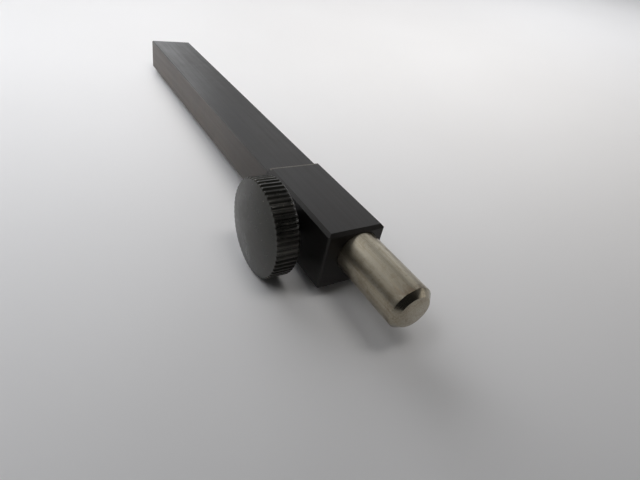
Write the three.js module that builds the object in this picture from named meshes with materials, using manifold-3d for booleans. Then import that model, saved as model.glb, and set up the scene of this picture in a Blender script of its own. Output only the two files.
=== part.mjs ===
// A scriber's holder: a rectangular steel shank with a taller clamp head, a ground round pin that slides in
// a blind bore in the head, and a knurled thumb screw that clamps the pin from the side.
//
// Millimetres, +Z up. The origin is the centre of the shank's plain end face. The shank runs towards -Y,
// the pin points along -Y, and the thumb screw stands out on the -X side.

import * as THREE from "three";
import { mergeVertices } from "three/addons/utils/BufferGeometryUtils.js";
import Module from "manifold-3d";

const wasm = await Module();
wasm.setup();

// Holder bar
const BAR_WIDTH = 13.5;
const SHANK_HEIGHT = 9.15;
const SHANK_CHAMFER = 0.3;
const HEAD_HEIGHT = 13.9;
const HEAD_LENGTH = 26.8;
const HEAD_CHAMFER = 0.7; // on the edges that lie level
const HEAD_UPRIGHT_CHAMFER = 0.35;
const HEAD_DROP = 3.55; // how far the head's underside lies below the shank's
const OVERALL_LENGTH = 124;

// Ground pin and its bore, which lies towards the top and the side away from the screw
const PIN_DIAMETER = 9.525;
const PIN_LENGTH = 38.1;
const PIN_STANDOUT = 17.9;
const PIN_CHAMFER = 1.2;
const PIN_OFFSET_X = 1.3;
const PIN_ABOVE_HEAD_BOTTOM = 8.3;
const BORE_CLEARANCE = 0.06;
const BORE_DEPTH = 22.2;
const DRILL_POINT_HALF_ANGLE = THREE.MathUtils.degToRad(59);

// Thumb screw
const SCREW_FROM_HEAD_FRONT = 13;
const KNOB_DIAMETER = 20.8;
const KNOB_THICKNESS = 5.2;
const KNOB_CROWN = 1.3; // rise of the domed face at its middle
const KNOB_EDGE_RADIUS = 0.4;
const KNOB_REAR_CHAMFER = 0.6;
const KNOB_GAP = 3.85; // between the knob's rear face and the head
const ENVELOPE_CLEARANCE = 0.06; // of the knob's turned outline past the ribs' tops
const RIB_COUNT = 56;
const RIB_DEPTH = 0.38;
const RIB_TOP_SHARE = 0.24; // part of one rib's pitch that is full height
const RIB_ROOT_SHARE = 0.24; // part of one rib's pitch that is the groove's floor
const NECK_DIAMETER = 7;
const NECK_LENGTH = 2.4;
const THREAD_DIAMETER = 4.83;
const THREAD_CHAMFER = 0.4;
const TAPPED_CLEARANCE = 0.1;
const COUNTERSINK = 0.5;

// Clamp pad between the screw's tip and the pin
const PAD_DIAMETER = 3.9;
const PAD_THICKNESS = 0.8;
const PAD_CHAMFER = 0.15;
const CONTACT_GAP = 0.1; // left between pieces that press on each other

// Fineness of the round surfaces
const ROUND_SEGMENTS = 64;
const KNOB_SEGMENTS = 2 * RIB_COUNT;
const ARC_STEPS = 5;

const BEYOND = 1; // how far a cutting tool runs past the face that it cuts
const WELD_DISTANCE = 1e-5; // corners closer than this are one corner

const HEAD_FRONT_Y = -OVERALL_LENGTH;
const HEAD_BOTTOM_Z = -SHANK_HEIGHT / 2 - HEAD_DROP;
const HEAD_MID_Z = HEAD_BOTTOM_Z + HEAD_HEIGHT / 2;
const AXIS_Z = HEAD_BOTTOM_Z + PIN_ABOVE_HEAD_BOTTOM;
const SCREW_Y = HEAD_FRONT_Y + SCREW_FROM_HEAD_FRONT;
const HEAD_LEFT_X = -BAR_WIDTH / 2;
const PIN_RADIUS = PIN_DIAMETER / 2;
const BORE_RADIUS = PIN_RADIUS + BORE_CLEARANCE;
const PIN_LEFT_X = PIN_OFFSET_X - PIN_RADIUS;

// A closed three.js geometry as a solid that can be cut and joined.
function solid(geometry) {
  const bare = geometry.index ? geometry.toNonIndexed() : geometry.clone();
  bare.deleteAttribute("normal");
  bare.deleteAttribute("uv");
  const merged = mergeVertices(bare, WELD_DISTANCE);
  return new wasm.Manifold(
    new wasm.Mesh({
      numProp: 3,
      vertProperties: new Float32Array(merged.attributes.position.array),
      triVerts: new Uint32Array(merged.index.array),
    }),
  );
}

// The solid's surface as a three.js geometry.
function surface(body) {
  const mesh = body.getMesh();
  const geometry = new THREE.BufferGeometry();
  geometry.setAttribute("position", new THREE.BufferAttribute(mesh.vertProperties, 3));
  geometry.setIndex(new THREE.BufferAttribute(mesh.triVerts, 1));
  geometry.computeVertexNormals();
  return geometry;
}

// A rectangle centred on the origin with its four corners cut off.
function chamferedRectangle(width, height, chamfer) {
  const x = width / 2;
  const y = height / 2;
  return new THREE.Shape([
    new THREE.Vector2(x, y - chamfer),
    new THREE.Vector2(x - chamfer, y),
    new THREE.Vector2(-x + chamfer, y),
    new THREE.Vector2(-x, y - chamfer),
    new THREE.Vector2(-x, -y + chamfer),
    new THREE.Vector2(-x + chamfer, -y),
    new THREE.Vector2(x - chamfer, -y),
    new THREE.Vector2(x, -y + chamfer),
  ]);
}

// The shape extruded along +Z and centred on the origin.
function centredExtrusion(shape, depth) {
  const geometry = new THREE.ExtrudeGeometry(shape, { depth, bevelEnabled: false });
  return geometry.translate(0, 0, -depth / 2);
}

// A block centred on the origin with all twelve edges chamfered, the four upright ones by their own amount.
function chamferedBlock(width, length, height, chamfer, uprightChamfer) {
  const alongZ = centredExtrusion(chamferedRectangle(width, length, uprightChamfer), height);
  const alongY = centredExtrusion(chamferedRectangle(width, height, chamfer), length);
  alongY.rotateX(Math.PI / 2);
  const alongX = centredExtrusion(chamferedRectangle(height, length, chamfer), width);
  alongX.rotateY(Math.PI / 2);
  return solid(alongZ).intersect(solid(alongY)).intersect(solid(alongX));
}

// Radius and height pairs, turned about the Y axis. The first and the last lie on the axis.
function turned(pairs, segments = ROUND_SEGMENTS) {
  const points = pairs.map(([radius, height]) => new THREE.Vector2(radius, height));
  return new THREE.LatheGeometry(points, segments);
}

// A turned piece that starts at the given point and runs towards -Y.
function alongMinusY(geometry, x, y, z) {
  return geometry.rotateX(Math.PI).translate(x, y, z);
}

// A turned piece that starts at the given point and runs towards -X.
function alongMinusX(geometry, x, y, z) {
  return geometry.rotateZ(Math.PI / 2).translate(x, y, z);
}

// A plain round bar with both its ends chamfered.
function chamferedRound(radius, length, chamfer) {
  return turned([
    [0, 0],
    [radius - chamfer, 0],
    [radius, chamfer],
    [radius, length - chamfer],
    [radius - chamfer, length],
    [0, length],
  ]);
}

function holderBar() {
  const shankLength = OVERALL_LENGTH - HEAD_LENGTH / 2;
  const shank = chamferedBlock(BAR_WIDTH, shankLength, SHANK_HEIGHT, SHANK_CHAMFER, SHANK_CHAMFER);
  const head = chamferedBlock(BAR_WIDTH, HEAD_LENGTH, HEAD_HEIGHT, HEAD_CHAMFER, HEAD_UPRIGHT_CHAMFER);
  const bar = shank
    .translate([0, -shankLength / 2, 0])
    .add(head.translate([0, HEAD_FRONT_Y + HEAD_LENGTH / 2, HEAD_MID_Z]));
  return bar.subtract(pinBore()).subtract(tappedHole());
}

// The blind bore for the pin, with the cone that the drill leaves at its end.
function pinBore() {
  const cone = BORE_RADIUS / Math.tan(DRILL_POINT_HALF_ANGLE);
  const tool = turned([
    [0, 0],
    [BORE_RADIUS, cone],
    [BORE_RADIUS, cone + BORE_DEPTH + BEYOND],
    [0, cone + BORE_DEPTH + BEYOND],
  ]);
  return solid(alongMinusY(tool, PIN_OFFSET_X, HEAD_FRONT_Y + BORE_DEPTH + cone, AXIS_Z));
}

// The screw's hole, from the bore out through the head's side, with a countersunk mouth.
function tappedHole() {
  const radius = THREAD_DIAMETER / 2 + TAPPED_CLEARANCE;
  const depth = PIN_OFFSET_X - HEAD_LEFT_X;
  const tool = turned([
    [0, 0],
    [radius, 0],
    [radius, depth - COUNTERSINK],
    [radius + COUNTERSINK + BEYOND, depth + BEYOND],
    [0, depth + BEYOND],
  ]);
  return solid(alongMinusX(tool, PIN_OFFSET_X, SCREW_Y, AXIS_Z));
}

function groundPin() {
  const tipY = HEAD_FRONT_Y - PIN_STANDOUT;
  const pin = chamferedRound(PIN_RADIUS, PIN_LENGTH, PIN_CHAMFER);
  return solid(alongMinusY(pin, PIN_OFFSET_X, tipY + PIN_LENGTH, AXIS_Z));
}

function clampPad() {
  const pad = chamferedRound(PAD_DIAMETER / 2, PAD_THICKNESS, PAD_CHAMFER);
  return solid(alongMinusX(pad, PIN_LEFT_X - CONTACT_GAP, SCREW_Y, AXIS_Z));
}

// The knurled rim's outline: straight ribs with flat tops and narrow grooves between them.
function ribbedOutline() {
  const pitch = (2 * Math.PI) / RIB_COUNT;
  const top = KNOB_DIAMETER / 2;
  const root = top - RIB_DEPTH;
  const shape = new THREE.Shape();
  for (let rib = 0; rib < RIB_COUNT; rib++) {
    const middle = rib * pitch;
    const halfTop = (RIB_TOP_SHARE / 2) * pitch;
    const halfRoot = (RIB_ROOT_SHARE / 2) * pitch;
    const corners = [
      [top, middle - halfTop],
      [top, middle + halfTop],
      [root, middle + pitch / 2 - halfRoot],
      [root, middle + pitch / 2 + halfRoot],
    ];
    corners.forEach(([radius, angle], corner) => {
      const x = radius * Math.cos(angle);
      const y = radius * Math.sin(angle);
      if (rib === 0 && corner === 0) shape.moveTo(x, y);
      else shape.lineTo(x, y);
    });
  }
  shape.closePath();
  return shape;
}

// The knob's envelope from its rear face outwards: a chamfered rear edge, the rim, a rounded front edge
// and a domed face. It clears the ribs' tops, so it only trims their ends.
function knobEnvelope() {
  const radius = KNOB_DIAMETER / 2 + ENVELOPE_CLEARANCE;
  const pairs = [
    [0, 0],
    [radius - KNOB_REAR_CHAMFER, 0],
    [radius, KNOB_REAR_CHAMFER],
  ];
  for (let step = 0; step <= ARC_STEPS; step++) {
    const angle = (step / ARC_STEPS) * (Math.PI / 2);
    const inset = KNOB_EDGE_RADIUS * (1 - Math.cos(angle));
    const rise = KNOB_EDGE_RADIUS * Math.sin(angle);
    pairs.push([radius - inset, KNOB_THICKNESS - KNOB_EDGE_RADIUS + rise]);
  }
  const faceRadius = radius - KNOB_EDGE_RADIUS;
  for (let step = 1; step <= ARC_STEPS; step++) {
    const share = 1 - step / ARC_STEPS;
    pairs.push([faceRadius * share, KNOB_THICKNESS + KNOB_CROWN * (1 - share * share)]);
  }
  return turned(pairs, KNOB_SEGMENTS);
}

// Screw and knob are turned from one bar. The piece is built from its tip outwards.
function thumbScrew() {
  const tipX = PIN_LEFT_X - 2 * CONTACT_GAP - PAD_THICKNESS;
  const rearX = HEAD_LEFT_X - KNOB_GAP;
  const stemLength = tipX - rearX;
  const threadRadius = THREAD_DIAMETER / 2;
  const neckRadius = NECK_DIAMETER / 2;
  const stem = turned([
    [0, 0],
    [threadRadius - THREAD_CHAMFER, 0],
    [threadRadius, THREAD_CHAMFER],
    [threadRadius, stemLength - NECK_LENGTH],
    [neckRadius, stemLength - NECK_LENGTH],
    [neckRadius, stemLength + BEYOND],
    [0, stemLength + BEYOND],
  ]);
  const rim = new THREE.ExtrudeGeometry(ribbedOutline(), {
    depth: KNOB_THICKNESS + KNOB_CROWN + BEYOND,
    bevelEnabled: false,
  });
  rim.rotateX(-Math.PI / 2);
  const knob = solid(knobEnvelope()).intersect(solid(rim));
  const screw = solid(stem).add(knob.translate([0, stemLength, 0]));
  return solid(alongMinusX(surface(screw), tipX, SCREW_Y, AXIS_Z));
}

// One named mesh for each piece.
function piece(name, body, look) {
  const mesh = new THREE.Mesh(surface(body), new THREE.MeshStandardMaterial(look));
  mesh.name = name;
  return mesh;
}

const BLACK_OXIDE = { color: 0x2a2a2b, roughness: 0.45, metalness: 0.9 };
const GROUND_STEEL = { color: 0xb8b2a6, roughness: 0.25, metalness: 1 };
const BRASS = { color: 0xb9974c, roughness: 0.35, metalness: 1 };

const scriber = new THREE.Group();
scriber.add(piece("holder_bar", holderBar(), BLACK_OXIDE));
scriber.add(piece("ground_pin", groundPin(), GROUND_STEEL));
scriber.add(piece("clamp_pad", clampPad(), BRASS));
scriber.add(piece("thumb_screw", thumbScrew(), BLACK_OXIDE));

export default scriber;
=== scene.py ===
"""Looks of the scriber holder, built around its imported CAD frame.

Metres, +Z up, in the frame of the part: the shank runs from the origin towards -Y, the pin points along -Y
and the thumb screw stands out on the -X side. MM turns lengths in millimetres into metres.
"""

import math

import bmesh
import bpy
from mathutils import Matrix, Vector


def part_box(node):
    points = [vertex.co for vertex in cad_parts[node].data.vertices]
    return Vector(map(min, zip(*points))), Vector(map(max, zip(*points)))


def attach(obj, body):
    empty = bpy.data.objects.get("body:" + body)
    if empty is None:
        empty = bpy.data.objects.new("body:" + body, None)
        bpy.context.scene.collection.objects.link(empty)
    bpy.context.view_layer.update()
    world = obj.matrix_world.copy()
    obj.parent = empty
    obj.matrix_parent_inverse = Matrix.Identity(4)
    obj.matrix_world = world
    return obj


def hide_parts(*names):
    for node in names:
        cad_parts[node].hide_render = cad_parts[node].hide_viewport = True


MM = 0.001

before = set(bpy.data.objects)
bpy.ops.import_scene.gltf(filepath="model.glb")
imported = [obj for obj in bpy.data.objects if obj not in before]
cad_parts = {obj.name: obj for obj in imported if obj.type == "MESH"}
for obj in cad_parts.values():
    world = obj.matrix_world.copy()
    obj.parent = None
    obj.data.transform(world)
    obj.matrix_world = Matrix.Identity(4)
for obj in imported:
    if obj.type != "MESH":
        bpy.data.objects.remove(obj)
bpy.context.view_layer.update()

# Places that the frame gives
BAR_LOW, BAR_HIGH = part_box("holder_bar")
PIN_LOW, PIN_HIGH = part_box("ground_pin")
PAD_LOW, PAD_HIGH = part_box("clamp_pad")
SCREW_LOW, SCREW_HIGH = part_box("thumb_screw")

# Holder bar
HEAD_LENGTH = 26.8 * MM
SHANK_HEIGHT = 9.15 * MM
HEAD_CHAMFER = 0.7 * MM
HEAD_UPRIGHT_CHAMFER = 0.35 * MM
SHANK_CHAMFER = 0.3 * MM
SOFT_EDGE = 0.14 * MM
BORE_CLEARANCE = 0.06 * MM
BORE_DEPTH = 22.2 * MM
BORE_SEGMENTS = 128
DRILL_POINT_HALF_ANGLE = math.radians(59)
TAPPED_CLEARANCE = 0.1 * MM
TAPPED_SEGMENTS = 96
COUNTERSINK = 0.5 * MM
TOOL_OVERSHOOT = 1 * MM

# Pin and pad
PIN_CHAMFER = 1.2 * MM
PIN_SOFT_CORNER = 0.06 * MM
PIN_SEGMENTS = 192
PAD_CHAMFER = 0.15 * MM
PAD_SOFT_CORNER = 0.02 * MM
PAD_SEGMENTS = 64

# Thumb screw
KNOB_DIAMETER = 20.8 * MM
KNOB_THICKNESS = 5.2 * MM
KNOB_CROWN = 1.3 * MM
KNOB_EDGE_RADIUS = 0.4 * MM
KNOB_EDGE_STEPS = 8
KNOB_CROWN_STEPS = 14
KNOB_REAR_CHAMFER = 0.6 * MM
KNOB_GAP = 3.85 * MM
RIB_COUNT = 56
RIB_DEPTH = 0.38 * MM
RIB_STEPS = 8
RIB_HALF_TOP = 0.12
RIB_HALF_ROOT = 0.38
NECK_DIAMETER = 7.0 * MM
NECK_LENGTH = 2.4 * MM
NECK_FILLET = 0.35 * MM
NECK_CHAMFER = 0.3 * MM
THREAD_DIAMETER = 4.83 * MM
THREAD_PITCH = 0.79375 * MM
THREAD_DEPTH = 0.46 * MM
THREAD_RINGS = 84
THREAD_TIP_CHAMFER = 0.1 * MM
THREAD_RELIEF = 0.5 * MM
THREAD_FLANK = 1.15
THREAD_CREST = 0.08

# Edges sharper than these are eased or shaded as edges
EASED_ANGLE = math.radians(28)
BAR_EDGE_ANGLE = math.radians(38)
ROUND_EDGE_ANGLE = math.radians(25)
SCREW_EDGE_ANGLE = math.radians(40)

# Floor, its half size in metres
FLOOR_HALF_SIZE = 4
FLOOR_SEGMENTS = 40
FLOOR_GAP = 0.02 * MM

# Camera: where it stands and what it looks at, in millimetres, its roll and its lens
CAMERA_AT = (-50.68, -175.82, 53.36)
CAMERA_AIM = (-4.17, -118.10, 0.0)
CAMERA_ROLL = math.radians(13.33)
CAMERA_LENS = 25.07

# Brightness of the room, and the direction in which it is dark
ROOM_LIGHT = 0.13
ROOM_DARK = 0.015
ROOM_DARK_TOWARDS = (-0.2, -0.91, 0.36)

# Colours of the surfaces
OXIDE_DARK = (0.0062, 0.0058, 0.0055, 1)
OXIDE_LIGHT = (0.0105, 0.0095, 0.0086, 1)
OXIDE_CLOUD = (0.0180, 0.0145, 0.0120, 1)
# Brown for the shank's sides: partly patina, partly painted sheen that lightens the sides
SIDE_PATINA_AND_SHEEN = (0.106, 0.087, 0.072, 1)
# Worn edges, and the line along the head's rear top edge that is partly a burr and partly a painted highlight
WORN_EDGE_AND_HIGHLIGHT = (0.17, 0.155, 0.135, 1)
KNOB_DARK = (0.0060, 0.0062, 0.0055, 1)
KNOB_LIGHT = (0.0165, 0.0148, 0.0120, 1)
KNOB_DUST = (0.20, 0.185, 0.155, 1)
KNOB_WORN = (0.15, 0.14, 0.12, 1)
STEEL_BRIGHT = (0.43, 0.395, 0.315, 1)
STEEL_DULL = (0.34, 0.295, 0.22, 1)
STEEL_STAIN = (0.235, 0.19, 0.13, 1)
STEEL_SPECK = (0.16, 0.125, 0.085, 1)
STEEL_COLLAR = (0.20, 0.15, 0.105, 1)
BRASS_BRIGHT = (0.62, 0.44, 0.17, 1)
BRASS_DULL = (0.40, 0.27, 0.10, 1)
FLOOR_DARK = (0.80, 0.79, 0.785, 1)
FLOOR_LIGHT = (0.84, 0.832, 0.83, 1)

HEAD_FRONT_Y = BAR_LOW.y
HEAD_REAR_Y = HEAD_FRONT_Y + HEAD_LENGTH
AXIS_X = (PIN_LOW.x + PIN_HIGH.x) / 2
AXIS_Z = (PIN_LOW.z + PIN_HIGH.z) / 2
PIN_RADIUS = (PIN_HIGH.x - PIN_LOW.x) / 2
BORE_RADIUS = PIN_RADIUS + BORE_CLEARANCE
SCREW_Y = (SCREW_LOW.y + SCREW_HIGH.y) / 2


# ---------------------------------------------------------------- meshes


def lathe(name, profile, segments, axis, at, radius_at=None):
    """A closed turned piece. profile is (distance along the axis, radius) pairs that start and end on the
    axis line, and radius_at(along, radius, angle) may shape each ring."""
    bm = bmesh.new()
    rings = []
    for along, radius in profile:
        if radius < 1e-9:
            rings.append([bm.verts.new((0, 0, along))])
            continue
        ring = []
        for step in range(segments):
            angle = 2 * math.pi * step / segments
            r = radius_at(along, radius, angle) if radius_at else radius
            ring.append(bm.verts.new((r * math.cos(angle), r * math.sin(angle), along)))
        rings.append(ring)
    for low, high in zip(rings, rings[1:]):
        for step in range(segments):
            after = (step + 1) % segments
            if len(low) == 1:
                bm.faces.new((low[0], high[after], high[step]))
            elif len(high) == 1:
                bm.faces.new((low[step], low[after], high[0]))
            else:
                bm.faces.new((low[step], low[after], high[after], high[step]))
    bmesh.ops.recalc_face_normals(bm, faces=bm.faces)
    turn = Vector((0, 0, 1)).rotation_difference(Vector(axis)).to_matrix().to_4x4()
    bm.transform(Matrix.Translation(at) @ turn)
    return mesh_object(name, bm)


def mesh_object(name, bm):
    mesh = bpy.data.meshes.new(name)
    bm.to_mesh(mesh)
    bm.free()
    piece = bpy.data.objects.new(name, mesh)
    bpy.context.scene.collection.objects.link(piece)
    return piece


def block(name, low, high, chamfer, upright):
    """A block between two corners with its edges cut off at 45 degrees, the upright ones by their own
    amount."""
    bm = bmesh.new()
    bmesh.ops.create_cube(bm, size=1)
    size = Vector(high) - Vector(low)
    middle = (Vector(high) + Vector(low)) / 2
    bm.transform(Matrix.Translation(middle) @ Matrix.Diagonal((*size, 1)))
    for first, second, width in ((0, 1, upright), (0, 2, chamfer), (1, 2, chamfer)):
        for first_side in (-1, 1):
            for second_side in (-1, 1):
                normal = Vector((0, 0, 0))
                normal[first] = first_side
                normal[second] = second_side
                corner = middle.copy()
                corner[first] += first_side * (size[first] / 2 - width)
                corner[second] += second_side * size[second] / 2
                whole = bm.verts[:] + bm.edges[:] + bm.faces[:]
                cut = bmesh.ops.bisect_plane(
                    bm, geom=whole, plane_co=corner, plane_no=normal, clear_outer=True
                )
                rim = [part for part in cut["geom_cut"] if isinstance(part, bmesh.types.BMEdge)]
                bmesh.ops.contextual_create(bm, geom=rim)
    bmesh.ops.recalc_face_normals(bm, faces=bm.faces)
    return mesh_object(name, bm)


def apply_modifiers(piece):
    """Bakes the modifiers into the mesh."""
    bpy.context.view_layer.update()
    graph = bpy.context.evaluated_depsgraph_get()
    mesh = bpy.data.meshes.new_from_object(piece.evaluated_get(graph))
    old = piece.data
    piece.modifiers.clear()
    piece.data = mesh
    mesh.name = piece.name
    bpy.data.meshes.remove(old)


def combine(piece, tool, operation):
    """Joins the tool to the piece or cuts it out, and removes the tool."""
    modifier = piece.modifiers.new("combine", "BOOLEAN")
    modifier.operation = operation
    modifier.solver = "EXACT"
    modifier.object = tool
    apply_modifiers(piece)
    bpy.data.objects.remove(tool)


def soften(piece, width, angle, segments=3):
    """Rounds the sharp edges a little."""
    modifier = piece.modifiers.new("soften", "BEVEL")
    modifier.width = width
    modifier.segments = segments
    modifier.limit_method = "ANGLE"
    modifier.angle_limit = angle
    modifier.use_clamp_overlap = True
    modifier.harden_normals = False
    apply_modifiers(piece)


def smooth(piece, angle):
    """Smooth shading, with edges sharper than the angle kept sharp and large flat faces kept flat."""
    piece.data.shade_smooth()
    piece.data.set_sharp_from_angle(angle=angle)
    modifier = piece.modifiers.new("flat_faces", "WEIGHTED_NORMAL")
    modifier.mode = "FACE_AREA"
    modifier.weight = 100
    modifier.keep_sharp = True
    apply_modifiers(piece)


# ---------------------------------------------------------------- materials


class Nodes:
    """Short calls for a node tree."""

    def __init__(self, tree):
        self.tree = tree

    def node(self, kind, **settings):
        made = self.tree.nodes.new(kind)
        for key, value in settings.items():
            setattr(made, key, value)
        return made

    def link(self, source, target):
        self.tree.links.new(source, target)

    def value(self, target, source):
        """Puts a number or another node's output into a socket."""
        if isinstance(source, bpy.types.NodeSocket):
            self.link(source, target)
        else:
            target.default_value = source

    def math(self, operation, a, b=0.0, c=0.0, clamp=False):
        made = self.node("ShaderNodeMath", operation=operation, use_clamp=clamp)
        for socket, source in zip(made.inputs, (a, b, c)):
            self.value(socket, source)
        return made.outputs[0]

    def place(self, scale=(1, 1, 1)):
        """The point on the piece, in metres, stretched by scale."""
        where = self.node("ShaderNodeTexCoord")
        mapping = self.node("ShaderNodeMapping")
        mapping.inputs["Scale"].default_value = scale
        self.link(where.outputs["Object"], mapping.inputs["Vector"])
        return mapping.outputs[0]

    def noise(self, vector, scale, detail=4.0, roughness=0.55, distortion=0.0):
        made = self.node("ShaderNodeTexNoise")
        self.link(vector, made.inputs["Vector"])
        made.inputs["Scale"].default_value = scale
        made.inputs["Detail"].default_value = detail
        made.inputs["Roughness"].default_value = roughness
        made.inputs["Distortion"].default_value = distortion
        return made.outputs["Fac"]

    def remap(self, source, low, high, to_low=0.0, to_high=1.0):
        made = self.node("ShaderNodeMapRange", interpolation_type="SMOOTHSTEP")
        for name, number in (("From Min", low), ("From Max", high), ("To Min", to_low), ("To Max", to_high)):
            made.inputs[name].default_value = number
        self.link(source, made.inputs["Value"])
        return made.outputs["Result"]

    def mix(self, factor, a, b):
        made = self.node("ShaderNodeMix", data_type="RGBA")
        self.value(made.inputs["Factor"], factor)
        for name, source in (("A", a), ("B", b)):
            socket = [s for s in made.inputs if s.name == name and s.type == "RGBA"][0]
            self.value(socket, source)
        return [s for s in made.outputs if s.type == "RGBA"][0]

    def edges(self, radius):
        """1 on the edges and 0 on the flats: how far the rounded normal turns from the true one."""
        bevel = self.node("ShaderNodeBevel", samples=6)
        bevel.inputs["Radius"].default_value = radius
        geometry = self.node("ShaderNodeNewGeometry")
        dot = self.node("ShaderNodeVectorMath", operation="DOT_PRODUCT")
        self.link(bevel.outputs["Normal"], dot.inputs[0])
        self.link(geometry.outputs["Normal"], dot.inputs[1])
        return self.remap(dot.outputs["Value"], 0.995, 0.90, 0.0, 1.0)

    def bump(self, height, strength, distance, normal=None):
        made = self.node("ShaderNodeBump")
        made.inputs["Strength"].default_value = strength
        made.inputs["Distance"].default_value = distance
        self.link(height, made.inputs["Height"])
        if normal is not None:
            self.link(normal, made.inputs["Normal"])
        return made.outputs["Normal"]


def material(name):
    """A new material, its node helper and its shader."""
    made = bpy.data.materials.new(name)
    made.use_nodes = True
    nodes = Nodes(made.node_tree)
    shader = made.node_tree.nodes["Principled BSDF"]
    return made, nodes, shader


def black_oxide():
    """Blackened steel: a dark skin with faint smudges, fine grinding lines along the bar, a lighter brown on
    the shank's sides that is partly patina and partly painted sheen, a light line along the head's rear top
    edge that is partly a burr and partly a painted highlight, and steel just showing on the edges."""
    made, n, shader = material("black_oxide")
    place = n.place()
    apart = n.node("ShaderNodeSeparateXYZ")
    n.link(place, apart.inputs[0])
    smudge = n.noise(place, 160, 5, 0.6, 0.6)
    cloud = n.noise(n.place((1, 0.35, 1)), 60, 3, 0.5)
    grain = n.noise(n.place((1, 0.03, 1)), 1100, 3, 0.6)
    speck = n.noise(place, 2600, 2, 0.5)

    base = n.mix(n.remap(smudge, 0.35, 0.7), OXIDE_DARK, OXIDE_LIGHT)
    base = n.mix(n.remap(cloud, 0.35, 0.8, 0, 0.7), base, OXIDE_CLOUD)
    # The shank's sides get a lighter brown: partly patina, partly painted sheen standing in for floor light
    # on the sides.
    side = n.remap(n.math("ABSOLUTE", apart.outputs["X"]), BAR_HIGH.x - 0.14 * MM, BAR_HIGH.x - 0.02 * MM)
    shank = n.remap(apart.outputs["Y"], HEAD_REAR_Y, HEAD_REAR_Y + 1 * MM)
    fading = n.remap(apart.outputs["Y"], HEAD_REAR_Y, HEAD_REAR_Y + 40 * MM, 0.45, 1.0)
    blotch = n.math("MULTIPLY", fading, n.remap(smudge, 0.25, 0.75, 0.6, 1.0))
    patina_and_sheen = n.math("MULTIPLY", n.math("MULTIPLY", side, shank), blotch)
    base = n.mix(patina_and_sheen, base, SIDE_PATINA_AND_SHEEN)

    edge = n.edges(0.16 * MM)
    patchy = n.math("MULTIPLY", edge, n.remap(n.noise(place, 700, 3), 0.38, 0.72), clamp=True)
    # A light line along the head's rear top edge: partly a bare-steel burr, partly a painted highlight of the
    # edge catching the light.
    chamfer_y = HEAD_REAR_Y - HEAD_CHAMFER
    rear = n.remap(apart.outputs["Y"], chamfer_y - 0.5 * MM, chamfer_y - 0.25 * MM)
    above = n.remap(apart.outputs["Z"], BAR_HIGH.z - 0.5 * MM, BAR_HIGH.z - 0.3 * MM)
    burr_and_highlight = n.math("MULTIPLY", n.math("MULTIPLY", rear, above), n.remap(speck, 0.25, 0.6, 0.35, 0.8))
    # wear carries both the real edge wear and the painted highlight line on the rear top edge.
    wear = n.math("MAXIMUM", n.math("MULTIPLY", patchy, 0.035), burr_and_highlight)
    base = n.mix(wear, base, WORN_EDGE_AND_HIGHLIGHT)
    n.link(base, shader.inputs["Base Color"])
    n.link(n.math("MULTIPLY", wear, 0.8), shader.inputs["Metallic"])

    rough = n.remap(cloud, 0.3, 0.75, 0.38, 0.44)
    rough = n.math("ADD", rough, n.remap(grain, 0.35, 0.65, -0.03, 0.03))
    rough = n.math("ADD", rough, n.remap(smudge, 0.35, 0.7, -0.02, 0.025))
    n.link(rough, shader.inputs["Roughness"])
    shader.inputs["Specular IOR Level"].default_value = 0.36
    shader.inputs["Specular Tint"].default_value = (1.0, 0.965, 0.93, 1)

    normal = n.bump(grain, 0.2, 0.012 * MM)
    normal = n.bump(speck, 0.2, 0.008 * MM, normal)
    n.link(normal, shader.inputs["Normal"])
    return made


def satin_knob():
    """The thumb screw's blackened skin, with faint turned rings about the screw's axis."""
    made, n, shader = material("satin_black_oxide")
    place = n.place()
    apart = n.node("ShaderNodeSeparateXYZ")
    n.link(place, apart.inputs[0])
    across = n.math("SUBTRACT", apart.outputs["Y"], SCREW_Y)
    up = n.math("SUBTRACT", apart.outputs["Z"], AXIS_Z)
    radius = n.math("SQRT", n.math("ADD", n.math("MULTIPLY", across, across), n.math("MULTIPLY", up, up)))
    ring_place = n.node("ShaderNodeCombineXYZ")
    n.link(radius, ring_place.inputs[0])
    rings = n.noise(ring_place.outputs[0], 6500, 2, 0.6)
    smudge = n.noise(place, 260, 6, 0.68, 0.6)
    speck = n.noise(place, 3200, 2, 0.5)
    dust = n.remap(n.noise(place, 1700, 2, 0.5), 0.68, 0.76)
    edge = n.edges(0.12 * MM)
    wear = n.math("MULTIPLY", edge, n.remap(n.noise(place, 800, 3), 0.4, 0.75, 0, 0.35), clamp=True)

    base = n.mix(n.remap(smudge, 0.38, 0.66), KNOB_DARK, KNOB_LIGHT)
    base = n.mix(n.math("MULTIPLY", dust, 0.6), base, KNOB_DUST)
    base = n.mix(wear, base, KNOB_WORN)
    n.link(base, shader.inputs["Base Color"])
    n.link(n.math("MULTIPLY", wear, 0.7), shader.inputs["Metallic"])
    rough = n.remap(smudge, 0.36, 0.68, 0.27, 0.40)
    n.link(rough, shader.inputs["Roughness"])
    shader.inputs["Specular IOR Level"].default_value = 0.6
    shader.inputs["Specular Tint"].default_value = (1.0, 0.99, 0.91, 1)
    normal = n.bump(rings, 0.12, 0.01 * MM)
    normal = n.bump(speck, 0.2, 0.008 * MM, normal)
    n.link(normal, shader.inputs["Normal"])
    return made


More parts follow.
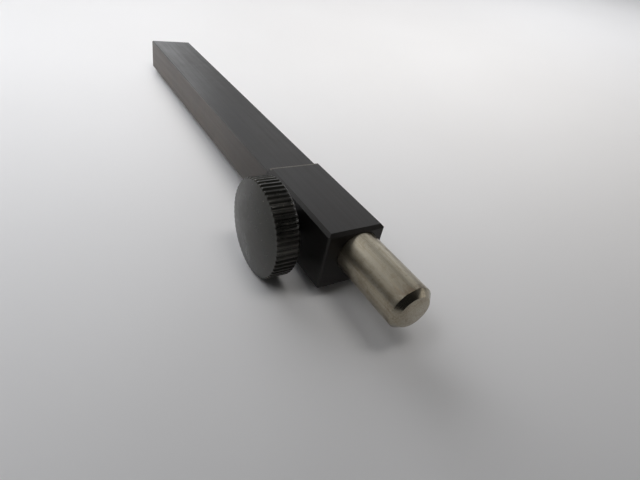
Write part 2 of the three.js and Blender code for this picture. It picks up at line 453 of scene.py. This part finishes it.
def ground_steel():
    """Dull ground steel: fine rings from the grinding wheel, drawn streaks, thin brown stains and specks, and
    smoother turned ends."""
    made, n, shader = material("ground_steel_bright")
    place = n.place()
    apart = n.node("ShaderNodeSeparateXYZ")
    n.link(place, apart.inputs[0])
    rings = n.noise(n.place((0.02, 1, 0.02)), 9000, 3, 0.6)
    streak = n.noise(n.place((1, 0.02, 1)), 3600, 4, 0.7)
    stain = n.noise(n.place((1, 0.7, 1)), 520, 5, 0.65, 0.5)
    speck = n.noise(place, 3000, 3, 0.65)
    base = n.mix(n.remap(streak, 0.35, 0.68), STEEL_BRIGHT, STEEL_DULL)
    base = n.mix(n.remap(stain, 0.46, 0.72, 0, 0.6), base, STEEL_STAIN)
    base = n.mix(n.remap(speck, 0.56, 0.7, 0, 0.5), base, STEEL_SPECK)
    collar = n.remap(apart.outputs["Y"], PIN_LOW.y + PIN_CHAMFER, PIN_LOW.y + PIN_CHAMFER + 3 * MM, 1.0, 0.0)
    body = n.remap(apart.outputs["Y"], PIN_LOW.y + PIN_CHAMFER - 0.2 * MM, PIN_LOW.y + PIN_CHAMFER)
    browned = n.math("MULTIPLY", n.math("MULTIPLY", collar, body), n.remap(stain, 0.42, 0.6, 0.0, 0.6))
    base = n.mix(browned, base, STEEL_COLLAR)
    n.link(base, shader.inputs["Base Color"])
    shader.inputs["Metallic"].default_value = 1.0
    rough = n.remap(stain, 0.35, 0.75, 0.31, 0.37)
    rough = n.math("ADD", rough, n.remap(streak, 0.3, 0.7, -0.04, 0.04))
    tip = n.remap(apart.outputs["Y"], PIN_LOW.y + PIN_CHAMFER - 0.1 * MM, PIN_LOW.y + PIN_CHAMFER, 0.21, 1.0)
    rough = n.math("MINIMUM", rough, n.math("ADD", tip, n.remap(speck, 0.4, 0.7, 0.0, 0.04)))
    n.link(rough, shader.inputs["Roughness"])
    normal = n.bump(rings, 0.15, 0.008 * MM)
    normal = n.bump(streak, 0.12, 0.006 * MM, normal)
    normal = n.bump(speck, 0.12, 0.006 * MM, normal)
    n.link(normal, shader.inputs["Normal"])
    return made


def turned_brass():
    made, n, shader = material("turned_brass")
    place = n.place()
    smudge = n.noise(place, 900, 4, 0.6)
    rings = n.noise(n.place((1, 0.05, 0.05)), 9000, 2, 0.6)
    base = n.mix(n.remap(smudge, 0.35, 0.7), BRASS_BRIGHT, BRASS_DULL)
    n.link(base, shader.inputs["Base Color"])
    shader.inputs["Metallic"].default_value = 1.0
    n.link(n.remap(smudge, 0.3, 0.75, 0.25, 0.42), shader.inputs["Roughness"])
    n.link(n.bump(rings, 0.2, 0.01 * MM), shader.inputs["Normal"])
    return made


def pale_floor():
    made, n, shader = material("pale_floor")
    place = n.place()
    tone = n.noise(place, 6, 3, 0.5)
    base = n.mix(n.remap(tone, 0.3, 0.7), FLOOR_DARK, FLOOR_LIGHT)
    n.link(base, shader.inputs["Base Color"])
    shader.inputs["Roughness"].default_value = 0.62
    return made


# ---------------------------------------------------------------- pieces


def add_piece(piece, node, body, look):
    """Puts the piece in place of a CAD node."""
    piece.data.materials.clear()
    piece.data.materials.append(look)
    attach(piece, body)
    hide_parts(node)


def build_bar():
    """Shank and head from one bar, with the pin's bore and the screw's tapped hole."""
    shank_low = (BAR_LOW.x, HEAD_REAR_Y - HEAD_LENGTH / 2, -SHANK_HEIGHT / 2)
    shank_high = (BAR_HIGH.x, BAR_HIGH.y, SHANK_HEIGHT / 2)
    head_high = (BAR_HIGH.x, HEAD_REAR_Y, BAR_HIGH.z)
    bar = block("clamp_bar", shank_low, shank_high, SHANK_CHAMFER, SHANK_CHAMFER)
    head = block("head_block", BAR_LOW, head_high, HEAD_CHAMFER, HEAD_UPRIGHT_CHAMFER)
    combine(bar, head, "UNION")
    cone = BORE_RADIUS / math.tan(DRILL_POINT_HALF_ANGLE)
    bore = [(-TOOL_OVERSHOOT, 0), (-TOOL_OVERSHOOT, BORE_RADIUS), (BORE_DEPTH, BORE_RADIUS),
            (BORE_DEPTH + cone, 0)]
    bore_at = (AXIS_X, HEAD_FRONT_Y, AXIS_Z)
    combine(bar, lathe("bore_tool", bore, BORE_SEGMENTS, (0, 1, 0), bore_at), "DIFFERENCE")
    radius = THREAD_DIAMETER / 2 + TAPPED_CLEARANCE
    depth = AXIS_X - BAR_LOW.x
    hole = [(0, 0), (0, radius), (depth - COUNTERSINK, radius),
            (depth + TOOL_OVERSHOOT, radius + COUNTERSINK + TOOL_OVERSHOOT), (depth + TOOL_OVERSHOOT, 0)]
    tap = lathe("tap_tool", hole, TAPPED_SEGMENTS, (-1, 0, 0), (AXIS_X, SCREW_Y, AXIS_Z))
    combine(bar, tap, "DIFFERENCE")
    soften(bar, SOFT_EDGE, EASED_ANGLE)
    smooth(bar, BAR_EDGE_ANGLE)
    add_piece(bar, "holder_bar", "holder", black_oxide())


def rounded_round(radius, length, chamfer, soft):
    """The profile of a round bar with chamfered ends, each corner eased by soft."""
    return [
        (0, 0),
        (0, radius - chamfer - soft),
        (soft * 0.3, radius - chamfer),
        (chamfer - soft * 0.7, radius - soft * 0.7),
        (chamfer + soft, radius),
        (length - chamfer - soft, radius),
        (length - chamfer + soft * 0.7, radius - soft * 0.7),
        (length - soft * 0.3, radius - chamfer),
        (length, radius - chamfer - soft),
        (length, 0),
    ]


def build_pin():
    length = PIN_HIGH.y - PIN_LOW.y
    profile = rounded_round(PIN_RADIUS, length, PIN_CHAMFER, PIN_SOFT_CORNER)
    pin = lathe("bright_pin", profile, PIN_SEGMENTS, (0, 1, 0), (AXIS_X, PIN_LOW.y, AXIS_Z))
    smooth(pin, ROUND_EDGE_ANGLE)
    add_piece(pin, "ground_pin", "pin", ground_steel())


def build_pad():
    length = PAD_HIGH.x - PAD_LOW.x
    radius = (PAD_HIGH.z - PAD_LOW.z) / 2
    profile = rounded_round(radius, length, PAD_CHAMFER, PAD_SOFT_CORNER)
    pad = lathe("thrust_pad", profile, PAD_SEGMENTS, (-1, 0, 0), (PAD_HIGH.x, SCREW_Y, AXIS_Z))
    smooth(pad, ROUND_EDGE_ANGLE)
    add_piece(pad, "clamp_pad", "pad", turned_brass())


def groove(angle):
    """Depth of the knurl at an angle, 0 on a rib's top and 1 in a groove's floor, with eased corners."""
    share = (angle / (2 * math.pi) * RIB_COUNT) % 1.0
    from_top = min(share, 1 - share)
    slope = (from_top - RIB_HALF_TOP) / (RIB_HALF_ROOT - RIB_HALF_TOP)
    slope = min(max(slope, 0.0), 1.0)
    return slope * slope * (3 - 2 * slope)


def build_screw():
    """Knob and stem turned from one bar, from the threaded tip outwards along -X."""
    tip_x = SCREW_HIGH.x
    rear = tip_x - (BAR_LOW.x - KNOB_GAP)
    knob_radius = KNOB_DIAMETER / 2
    thread_radius = THREAD_DIAMETER / 2
    neck_radius = NECK_DIAMETER / 2
    root_radius = thread_radius - THREAD_DEPTH
    profile = [(0, 0), (0, root_radius - THREAD_TIP_CHAMFER), (THREAD_TIP_CHAMFER, root_radius)]
    shoulder = rear - NECK_LENGTH
    thread_end = shoulder - THREAD_RELIEF
    for ring in range(1, THREAD_RINGS + 1):
        along = THREAD_TIP_CHAMFER + (thread_end - THREAD_TIP_CHAMFER) * ring / THREAD_RINGS
        profile.append((along, thread_radius))
    profile += [
        (shoulder - 0.42 * MM, root_radius),
        (shoulder - 0.05 * MM, root_radius),
        (shoulder, root_radius + 0.05 * MM),
        (shoulder, neck_radius - NECK_CHAMFER),
        (shoulder + NECK_CHAMFER, neck_radius),
        (rear - NECK_FILLET, neck_radius),
        (rear - 0.1 * MM, neck_radius + 0.1 * MM),
        (rear, neck_radius + NECK_FILLET),
        (rear, knob_radius - KNOB_REAR_CHAMFER - 0.9 * MM),
        (rear, knob_radius - KNOB_REAR_CHAMFER - 0.05 * MM),
        (rear + 0.03 * MM, knob_radius - KNOB_REAR_CHAMFER),
        (rear + KNOB_REAR_CHAMFER - 0.04 * MM, knob_radius - 0.04 * MM),
        (rear + KNOB_REAR_CHAMFER + 0.05 * MM, knob_radius),
    ]
    front = rear + KNOB_THICKNESS
    for step in range(KNOB_EDGE_STEPS + 1):
        angle = step / KNOB_EDGE_STEPS * math.pi / 2
        inset = KNOB_EDGE_RADIUS * (1 - math.cos(angle))
        rise = KNOB_EDGE_RADIUS * math.sin(angle)
        profile.append((front - KNOB_EDGE_RADIUS + rise, knob_radius - inset))
    face_radius = knob_radius - KNOB_EDGE_RADIUS
    for step in range(1, KNOB_CROWN_STEPS + 1):
        share = 1 - step / KNOB_CROWN_STEPS
        profile.append((front + KNOB_CROWN * (1 - share * share), face_radius * share))

    knob_from = rear + 1e-7

    def shaped(along, radius, angle):
        if along > knob_from:
            return min(radius, knob_radius - RIB_DEPTH * groove(angle))
        if radius == thread_radius:
            turns = along / THREAD_PITCH + angle / (2 * math.pi)
            wave = abs((turns % 1.0) - 0.5) * 2
            fade = min(1.0, along / THREAD_PITCH, (thread_end + THREAD_PITCH - along) / THREAD_PITCH)
            depth = THREAD_DEPTH * min(max(THREAD_FLANK * wave - THREAD_CREST, 0.0), 1.0)
            return radius - max(depth, THREAD_DEPTH * (1 - fade))
        return radius

    at = (tip_x, SCREW_Y, AXIS_Z)
    screw = lathe("knurled_screw", profile, RIB_STEPS * RIB_COUNT, (-1, 0, 0), at, shaped)
    smooth(screw, SCREW_EDGE_ANGLE)
    add_piece(screw, "thumb_screw", "screw", satin_knob())


# ---------------------------------------------------------------- stage


def floor_normal_and_point():
    """The plane that the holder rests on: the knob's rim, the head's rear lower edge and the shank's end."""
    knob = Vector((BAR_LOW.x - KNOB_GAP, SCREW_Y, AXIS_Z - KNOB_DIAMETER / 2))
    head = Vector((BAR_HIGH.x - HEAD_CHAMFER, HEAD_REAR_Y - HEAD_CHAMFER, BAR_LOW.z))
    end = Vector((BAR_HIGH.x - SHANK_CHAMFER, BAR_HIGH.y, -SHANK_HEIGHT / 2))
    normal = (head - knob).cross(end - knob).normalized()
    if normal.z < 0:
        normal.negate()
    return normal, knob


def build_floor():
    normal, point = floor_normal_and_point()
    bm = bmesh.new()
    bmesh.ops.create_grid(bm, x_segments=FLOOR_SEGMENTS, y_segments=FLOOR_SEGMENTS, size=FLOOR_HALF_SIZE)
    turn = Vector((0, 0, 1)).rotation_difference(normal).to_matrix().to_4x4()
    bm.transform(Matrix.Translation(point - normal * FLOOR_GAP) @ turn)
    floor = mesh_object("floor", bm)
    floor.data.materials.append(pale_floor())


def add_light(name, at, aim, size, power, colour, spread=180):
    """An area light that faces a point, with its beam narrowed by a grid. Places are in millimetres."""
    data = bpy.data.lights.new(name, "AREA")
    data.shape = "RECTANGLE"
    data.size = size[0] * MM
    data.size_y = size[1] * MM
    data.energy = power
    data.color = colour
    data.spread = math.radians(spread)
    light = bpy.data.objects.new(name, data)
    light.location = Vector(at) * MM
    light.rotation_euler = (Vector(aim) - Vector(at)).to_track_quat("-Z", "Y").to_euler()
    bpy.context.scene.collection.objects.link(light)
    return light


def build_world():
    """A softly lit room that is dark in front of the holder."""
    world = bpy.data.worlds.new("room")
    bpy.context.scene.world = world
    world.use_nodes = True
    n = Nodes(world.node_tree)
    background = world.node_tree.nodes["Background"]
    where = n.node("ShaderNodeTexCoord")
    towards_front = n.node("ShaderNodeVectorMath", operation="DOT_PRODUCT")
    n.link(where.outputs["Generated"], towards_front.inputs[0])
    towards_front.inputs[1].default_value = Vector(ROOM_DARK_TOWARDS)
    strength = n.remap(towards_front.outputs["Value"], 0.3, 0.85, ROOM_LIGHT, ROOM_DARK)
    n.link(strength, background.inputs["Strength"])
    background.inputs["Color"].default_value = (0.97, 0.985, 1.0, 1)


def build_lights():
    aim = (0, -100, -5)
    cool = (0.955, 0.97, 1.0)
    warm = (1.0, 0.975, 0.945)
    add_light("window", (-90, 755, 497), aim, (840, 630), 1.85, cool, 110)
    add_light("window_right", (630, 545, 542), aim, (630, 600), 0.77, cool)
    add_light("window_right_low", (630, 545, 257), aim, (630, 240), 0.34, cool)
    add_light("lamp_over", (60, -150, 340), (150, 40, -8), (160, 160), 0.165, warm, 78)
    add_light("lamp_behind", (60, 180, 360), (150, 140, -8), (260, 260), 0.05, cool, 100)
    add_light("lamp_left", (-250, -40, 330), (-100, 60, -8), (200, 200), 0.16, cool, 70)
    add_light("lamp_high", (340, -40, 520), (355, 5, 35), (200, 200), 0.115, cool, 50)
    add_light("pale_wall", (430, -410, 130), (0, -140, 0), (360, 260), 0.17, warm)
    add_light("glint", (-290, 60, 205), aim, (34, 160), 0.016, warm)


def build_camera():
    data = bpy.data.cameras.new("camera")
    data.sensor_width = 36
    data.lens = CAMERA_LENS
    data.clip_start = 0.001
    camera = bpy.data.objects.new("camera", data)
    at = Vector(CAMERA_AT) * MM
    look = (Vector(CAMERA_AIM) * MM - at).normalized()
    right = look.cross(Vector((0, 0, 1))).normalized()
    up = right.cross(look)
    rolled_right = right * math.cos(CAMERA_ROLL) + up * math.sin(CAMERA_ROLL)
    rolled_up = up * math.cos(CAMERA_ROLL) - right * math.sin(CAMERA_ROLL)
    turn = Matrix((rolled_right, rolled_up, -look)).transposed().to_4x4()
    camera.matrix_world = Matrix.Translation(at) @ turn
    bpy.context.scene.collection.objects.link(camera)
    bpy.context.scene.camera = camera


bpy.context.scene.view_settings.view_transform = "Standard"

build_bar()
build_pin()
build_pad()
build_screw()
build_floor()
build_world()
build_lights()
build_camera()
